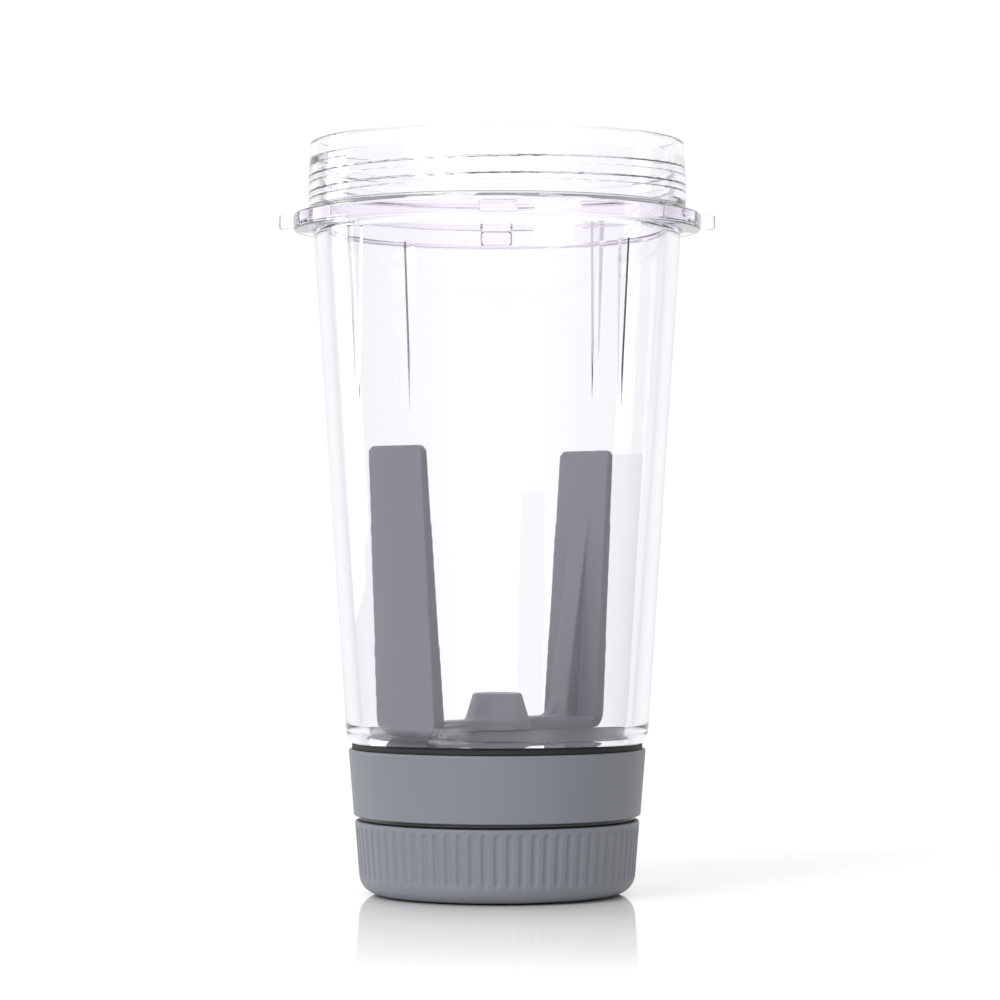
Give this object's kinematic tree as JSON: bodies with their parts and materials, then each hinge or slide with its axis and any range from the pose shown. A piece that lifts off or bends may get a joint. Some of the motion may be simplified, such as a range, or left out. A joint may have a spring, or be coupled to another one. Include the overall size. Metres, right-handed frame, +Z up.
{
  "type": "blending cup with twist paddle",
  "caption": "Clear tapered blending cup with a threaded, lugged mouth, standing on a grey collar and fluted twist knob that turns a U-shaped scraper paddle inside it.",
  "frame": {"origin": "on the cup's axis at the underside of the foot pad, where the part rests", "axes": "+Z up the cup's axis towards the mouth, -Y towards the front"},
  "size_m": [0.1044, 0.1044, 0.18],
  "materials": {
    "clear_plastic": "clear polished, faint violet tint in thick sections",
    "grey_plastic": "fine matte, cool mid grey",
    "black_plastic": "satin",
    "black_rubber": "matt",
    "steel": "bright zinc plated",
    "dark_steel": "dark satin"
  },
  "bodies": {
    "cup": {"cup_body": "clear_plastic", "floor_plate": "grey_plastic", "collar": "grey_plastic", "collar_gasket": "black_rubber", "bearing_housing": "black_plastic", "shaft_bush": "black_plastic", "shaft_seal": "black_rubber", "glide_ring": "black_plastic", "collar_screws": "steel"},
    "knob": {"knob": "grey_plastic", "knob_deck": "black_plastic", "deck_screws": "steel", "drive_shaft": "dark_steel", "retaining_ring": "black_rubber", "thrust_washer": "steel", "shaft_circlip": "steel", "knob_screw": "steel", "screw_washer": "steel", "base_cap": "grey_plastic", "foot_pad": "black_rubber"},
    "paddle": {"paddle": "grey_plastic", "hub_insert": "dark_steel"}
  },
  "joints": [
    {"name": "knob_turn", "type": "hinge", "parent": "cup", "child": "knob", "pos_m": [0, 0, 0.02], "axis": [0, 0, 1], "continuous": true},
    {"name": "paddle_lift", "type": "slide", "parent": "knob", "child": "paddle", "axis": [0, 0, 1], "range_m": [0, 0.15]}
  ]
}
